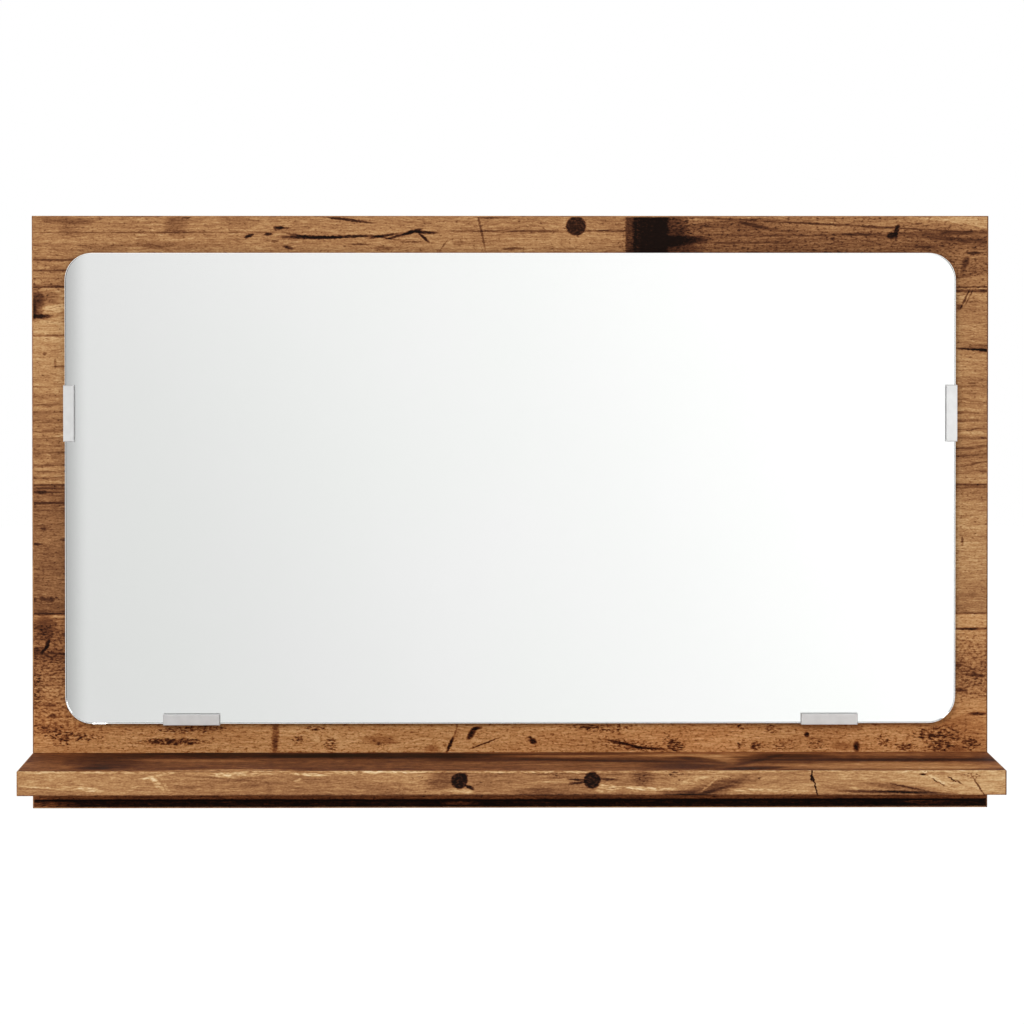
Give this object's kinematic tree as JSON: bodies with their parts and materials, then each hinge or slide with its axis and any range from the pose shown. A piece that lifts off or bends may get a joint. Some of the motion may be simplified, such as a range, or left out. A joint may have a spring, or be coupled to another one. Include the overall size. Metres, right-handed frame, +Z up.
{
  "type": "wall mirror with shelf",
  "caption": "Wall-hung bathroom mirror on a wood-decor board, with a narrow shelf below and a rounded pane held by small clips.",
  "frame": {"origin": "centre of the board's back face, on the wall", "axes": "+X right as seen from the front, +Y into the wall so the front faces -Y, +Z up"},
  "size_m": [0.6, 0.11, 0.372],
  "materials": {
    "decor_board": "chipboard faced with a matt printed paper that shows old brown planks",
    "edge_band": "matt printed edge band in the same old-plank decor",
    "mirror_glass": "clear float glass, seamed edges",
    "silvering": "silvered, with grey backing paint behind",
    "clip_plastic": "smooth pale milky plastic",
    "screw_steel": "bright zinc plated",
    "cam_zinc": "die-cast zinc, nickel plated, satin",
    "hanger_steel": "stamped sheet steel, zinc plated",
    "beech": "raw fluted beech"
  },
  "bodies": {
    "wall_unit": {"back_board": "decor_board", "board_edge_band_bottom": "edge_band", "board_edge_band_left": "edge_band", "board_edge_band_right": "edge_band", "board_edge_band_top": "edge_band", "cam_bolt_centre": "screw_steel", "cam_bolt_left": "screw_steel", "cam_bolt_right": "screw_steel", "clip_screw_bottom_left_1": "screw_steel", "clip_screw_bottom_left_2": "screw_steel", "clip_screw_bottom_right_1": "screw_steel", "clip_screw_bottom_right_2": "screw_steel", "clip_screw_left_1": "screw_steel", "clip_screw_left_2": "screw_steel", "clip_screw_right_1": "screw_steel", "clip_screw_right_2": "screw_steel", "dowel_left": "beech", "dowel_right": "beech", "hanger_plate_left": "hanger_steel", "hanger_plate_right": "hanger_steel", "hanger_screw_left_1": "screw_steel", "hanger_screw_left_2": "screw_steel", "hanger_screw_right_1": "screw_steel", "hanger_screw_right_2": "screw_steel", "mirror_clip_bottom_left": "clip_plastic", "mirror_clip_bottom_right": "clip_plastic", "mirror_clip_left": "clip_plastic", "mirror_clip_right": "clip_plastic", "shelf_board": "decor_board", "shelf_edge_band_front": "edge_band", "shelf_edge_band_left": "edge_band", "shelf_edge_band_right": "edge_band"},
    "mirror_pane": {"mirror_glass": "mirror_glass", "mirror_coating": "silvering"},
    "cam_left": {"cam_lock_left": "cam_zinc"},
    "cam_centre": {"cam_lock_centre": "cam_zinc"},
    "cam_right": {"cam_lock_right": "cam_zinc"}
  },
  "joints": [
    {"name": "mirror_lift", "type": "slide", "parent": "wall_unit", "child": "mirror_pane", "axis": [0, 0, 1], "range_m": [0, 0.195]},
    {"name": "cam_left_turn", "type": "hinge", "parent": "wall_unit", "child": "cam_left", "pos_m": [-0.23, -0.049, -0.166], "axis": [0, 0, -1], "range_deg": [0, 190]},
    {"name": "cam_centre_turn", "type": "hinge", "parent": "wall_unit", "child": "cam_centre", "pos_m": [0, -0.049, -0.166], "axis": [0, 0, -1], "range_deg": [0, 190]},
    {"name": "cam_right_turn", "type": "hinge", "parent": "wall_unit", "child": "cam_right", "pos_m": [0.23, -0.049, -0.166], "axis": [0, 0, -1], "range_deg": [0, 190]}
  ]
}
